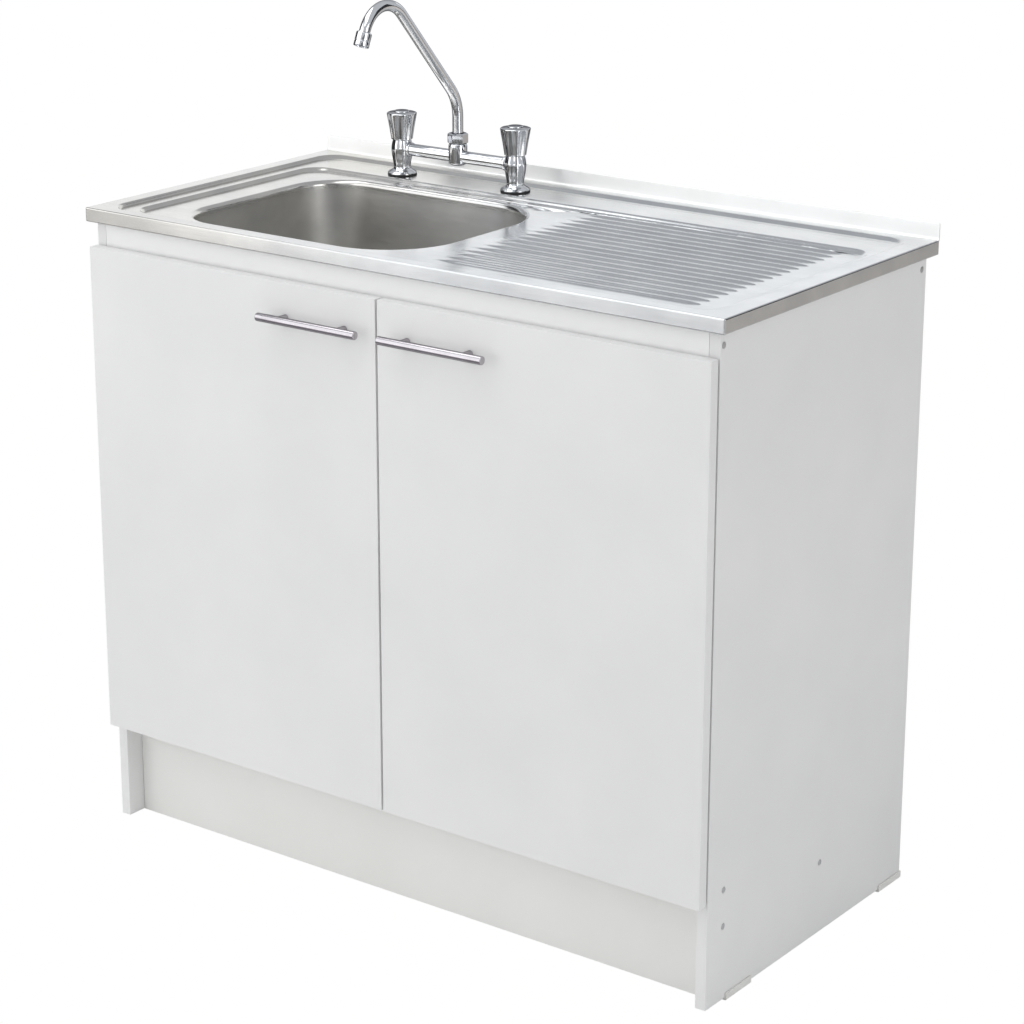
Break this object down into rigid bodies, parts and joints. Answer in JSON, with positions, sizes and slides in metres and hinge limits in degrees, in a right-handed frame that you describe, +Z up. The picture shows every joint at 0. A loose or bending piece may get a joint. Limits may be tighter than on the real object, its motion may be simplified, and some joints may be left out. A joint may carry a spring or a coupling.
{
  "type": "kitchen sink unit",
  "caption": "Free-standing kitchen sink base unit with a pressed stainless steel top, one bowl and ribbed drainer, bridge mixer tap with swivel spout, and hinged doors with bar handles.",
  "frame": {"origin": "on the floor, under the middle of the unit's outline seen from above", "axes": "+Z up, -Y towards the doors and the user, +X to the user's right (the drainer side)"},
  "size_m": [1, 0.533, 1.1398],
  "materials": {
    "stainless_steel": "pressed stainless sheet with a fine satin grain",
    "white_laminate": "white melamine on chipboard, satin",
    "white_hardboard": "thin hardboard, painted white on one side",
    "polished_chrome": "mirror-bright chrome on brass",
    "satin_chrome": "satin chrome on steel",
    "zinc_steel": "bright zinc-plated steel",
    "rubber_seal": "black rubber",
    "brass_fitting": "plain turned brass",
    "white_plastic": "moulded white plastic"
  },
  "bodies": {
    "cabinet": {"back_panel": "white_hardboard", "bottom_panel": "white_laminate", "front_top_rail": "white_laminate", "left_bottom_screw": "zinc_steel", "left_front_glide": "white_plastic", "left_front_rail_screw": "zinc_steel", "left_lower_hinge_arm": "zinc_steel", "left_lower_hinge_plate": "zinc_steel", "left_plinth_screw": "zinc_steel", "left_rear_glide": "white_plastic", "left_rear_rail_screw": "zinc_steel", "left_side_panel": "white_laminate", "left_support_rail_screw": "zinc_steel", "left_tap_backnut": "brass_fitting", "left_tap_gasket": "rubber_seal", "left_tap_pillar": "polished_chrome", "left_upper_hinge_arm": "zinc_steel", "left_upper_hinge_plate": "zinc_steel", "lower_support_rail": "white_laminate", "plinth_board": "white_laminate", "rear_top_rail": "white_laminate", "right_bottom_screw": "zinc_steel", "right_front_glide": "white_plastic", "right_front_rail_screw": "zinc_steel", "right_lower_hinge_arm": "zinc_steel", "right_lower_hinge_plate": "zinc_steel", "right_plinth_screw": "zinc_steel", "right_rear_glide": "white_plastic", "right_rear_rail_screw": "zinc_steel", "right_side_panel": "white_laminate", "right_support_rail_screw": "zinc_steel", "right_tap_backnut": "brass_fitting", "right_tap_gasket": "rubber_seal", "right_tap_pillar": "polished_chrome", "right_upper_hinge_arm": "zinc_steel", "right_upper_hinge_plate": "zinc_steel", "sink_top": "stainless_steel", "spout_nut": "polished_chrome", "tap_bridge": "polished_chrome", "trap_inlet_pipe": "white_plastic", "trap_outlet_bend": "white_plastic", "trap_u_bend": "white_plastic", "waste_backnut": "white_plastic", "waste_flange": "stainless_steel"},
    "right_door": {"right_bar_handle": "satin_chrome", "right_door_panel": "white_laminate", "right_inner_handle_screw": "zinc_steel", "right_lower_hinge_cup": "zinc_steel", "right_outer_handle_screw": "zinc_steel", "right_upper_hinge_cup": "zinc_steel"},
    "left_door": {"left_bar_handle": "satin_chrome", "left_door_panel": "white_laminate", "left_inner_handle_screw": "zinc_steel", "left_lower_hinge_cup": "zinc_steel", "left_outer_handle_screw": "zinc_steel", "left_upper_hinge_cup": "zinc_steel"},
    "spout": {"aerator": "polished_chrome", "spout_tube": "polished_chrome"},
    "hot_knob": {"hot_knob": "polished_chrome"},
    "cold_knob": {"cold_knob": "polished_chrome"}
  },
  "joints": [
    {"name": "right_door_swing", "type": "hinge", "parent": "cabinet", "child": "right_door", "pos_m": [0.4812, -0.2351, 0.484], "axis": [0, 0, 1], "range_deg": [0, 95]},
    {"name": "left_door_swing", "type": "hinge", "parent": "cabinet", "child": "left_door", "pos_m": [-0.4812, -0.2351, 0.484], "axis": [0, 0, -1], "range_deg": [0, 95]},
    {"name": "spout_swivel", "type": "hinge", "parent": "cabinet", "child": "spout", "pos_m": [-0.216, 0.2065, 0.92], "axis": [0, 0, 1], "continuous": true},
    {"name": "hot_knob_turn", "type": "hinge", "parent": "cabinet", "child": "hot_knob", "pos_m": [-0.3145, 0.2065, 0.94], "axis": [0, 0, 1], "range_deg": [0, 90]},
    {"name": "cold_knob_turn", "type": "hinge", "parent": "cabinet", "child": "cold_knob", "pos_m": [-0.1175, 0.2065, 0.94], "axis": [0, 0, 1], "range_deg": [0, 90]}
  ]
}
